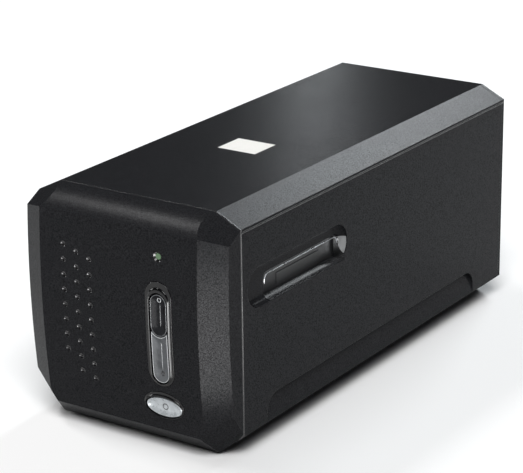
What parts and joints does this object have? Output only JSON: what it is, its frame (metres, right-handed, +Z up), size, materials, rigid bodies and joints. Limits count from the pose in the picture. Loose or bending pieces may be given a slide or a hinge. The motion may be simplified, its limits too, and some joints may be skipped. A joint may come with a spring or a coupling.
{
  "type": "film negative scanner",
  "caption": "Long box-shaped desktop scanner for film strips and slides, with a bowed bevelled front, push buttons and sprung dust flaps over a side-to-side film slot.",
  "frame": {"origin": "on the table under the middle of the scanner", "axes": "+Z up, the front with the buttons faces -Y, the loading slot is on +X"},
  "size_m": [0.116, 0.272, 0.119],
  "materials": {
    "black_shell": "fine grained matte",
    "piano_black": "glossy",
    "smoke_button": "satin",
    "grey_button": "satin",
    "silver_button": "satin",
    "green_lens": "glossy",
    "flap_black": "satin",
    "label_paper": "matte",
    "foot_rubber": "matte",
    "black_inner": "matte",
    "white_inner": "matte",
    "diffuser_white": "matte",
    "circuit_board": "satin",
    "steel": "bright",
    "motor_steel": "satin",
    "nut_plastic": "satin",
    "bronze": "satin",
    "mirror_glass": "polished",
    "lens_glass": "polished",
    "sensor_package": "matte",
    "dark_screw": "satin"
  },
  "bodies": {
    "root": {"lower_case": "black_shell", "top_cover": "black_shell", "front_bezel": "black_shell", "rear_panel": "black_shell", "top_label": "label_paper", "rubber_feet": "foot_rubber", "button_surround": "piano_black", "power_surround": "piano_black", "status_lens": "green_lens", "button_board": "circuit_board", "tact_switches": "black_inner", "slot_frame_right": "black_inner", "slot_frame_left": "black_inner", "flap_springs": "steel", "film_guide": "black_inner", "lamp_housing": "white_inner", "lamp_board": "circuit_board", "diffuser": "diffuser_white", "chassis": "black_inner", "guide_rods": "steel", "motor": "motor_steel", "main_board": "circuit_board", "usb_port": "steel", "dc_jack": "black_inner", "case_screws": "dark_screw", "chassis_screws": "steel", "board_screws": "steel", "motor_screws": "steel"},
    "upper_button": {"upper_button": "smoke_button"},
    "lower_button": {"lower_button": "grey_button"},
    "power_button": {"power_button": "silver_button"},
    "flap_right": {"dust_flap_right": "flap_black"},
    "flap_left": {"dust_flap_left": "flap_black"},
    "carriage": {"carriage": "black_inner", "carriage_bushes": "bronze", "mirror": "mirror_glass", "lens_barrel": "black_inner", "lens_elements": "lens_glass", "sensor_board": "circuit_board", "image_sensor": "sensor_package", "drive_nut": "nut_plastic"},
    "screw": {"lead_screw": "steel"}
  },
  "joints": [
    {"name": "upper_button_press", "type": "slide", "parent": "root", "child": "upper_button", "axis": [0, 1, 0], "range_m": [0, 0.001], "stiffness_N_per_m": 900, "springref_m": -0.0008},
    {"name": "lower_button_press", "type": "slide", "parent": "root", "child": "lower_button", "axis": [0, 1, 0], "range_m": [0, 0.001], "stiffness_N_per_m": 900, "springref_m": -0.0008},
    {"name": "power_button_press", "type": "slide", "parent": "root", "child": "power_button", "axis": [0, 1, 0], "range_m": [0, 0.0012], "stiffness_N_per_m": 900, "springref_m": -0.0008},
    {"name": "right_flap_swing", "type": "hinge", "parent": "root", "child": "flap_right", "pos_m": [0.04935, 0, 0.0862], "axis": [0, 1, 0], "range_deg": [0, 80], "stiffness_Nm_per_rad": 0.004, "springref_deg": -20.05},
    {"name": "left_flap_swing", "type": "hinge", "parent": "root", "child": "flap_left", "pos_m": [-0.04935, 0, 0.0862], "axis": [0, 1, 0], "range_deg": [0, 80], "stiffness_Nm_per_rad": 0.004, "springref_deg": -20.05},
    {"name": "carriage_travel", "type": "slide", "parent": "root", "child": "carriage", "axis": [0, -1, 0], "range_m": [0, 0.03]},
    {"name": "lead_screw_turn", "type": "hinge", "parent": "root", "child": "screw", "pos_m": [0, 0, 0.0235], "axis": [0, 1, 0], "range_deg": [0, 1360]}
  ],
  "couplings": [
    {"joint": "lead_screw_turn", "follows": "carriage_travel", "rad_per_m": 785.4}
  ]
}
